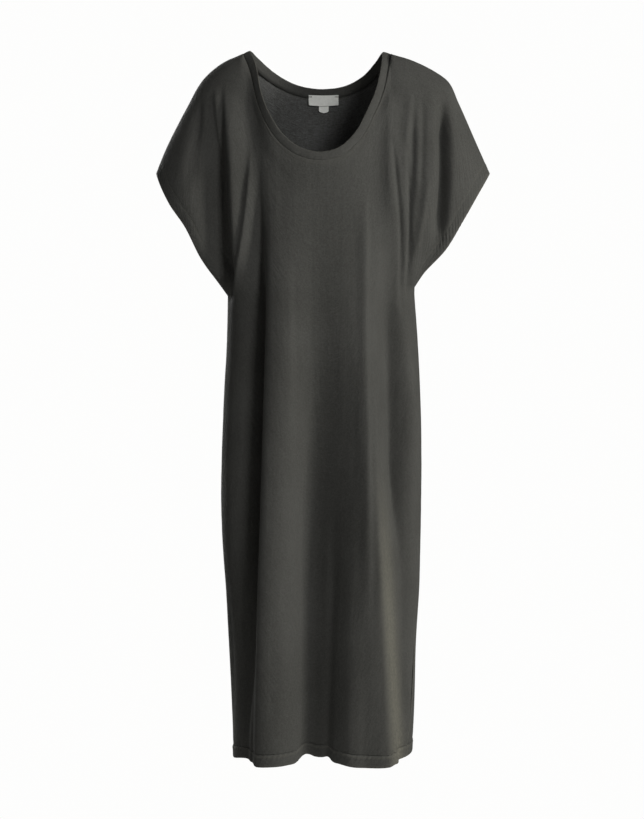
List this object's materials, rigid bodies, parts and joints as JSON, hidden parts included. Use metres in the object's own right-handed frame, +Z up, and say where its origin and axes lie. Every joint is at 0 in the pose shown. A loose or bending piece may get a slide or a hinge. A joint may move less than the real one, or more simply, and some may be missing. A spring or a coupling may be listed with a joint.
{
  "type": "midi dress",
  "caption": "Straight midi dress in jersey with a deep scoop neck and wide cut-on short sleeves, hollow and filled out as worn.",
  "frame": {"origin": "midway between the two side neck points, level with them, where the wearer's shoulders hold the dress", "axes": "+Z up from hem to shoulders, -Y to the front of the dress, +X to the side that is on the right when the front is seen"},
  "size_m": [0.5605, 0.2521, 1.1985],
  "materials": {
    "jersey": "matte garment-dyed cotton slub jersey, dark grey with a slight olive cast",
    "band_jersey": "the same jersey, folded double",
    "woven_label": "pale satin-woven tape, bare"
  },
  "bodies": {
    "root": {"front_panel": "jersey", "back_panel": "jersey", "neckband": "band_jersey", "neck_label": "woven_label", "size_tab": "woven_label"}
  },
  "joints": []
}
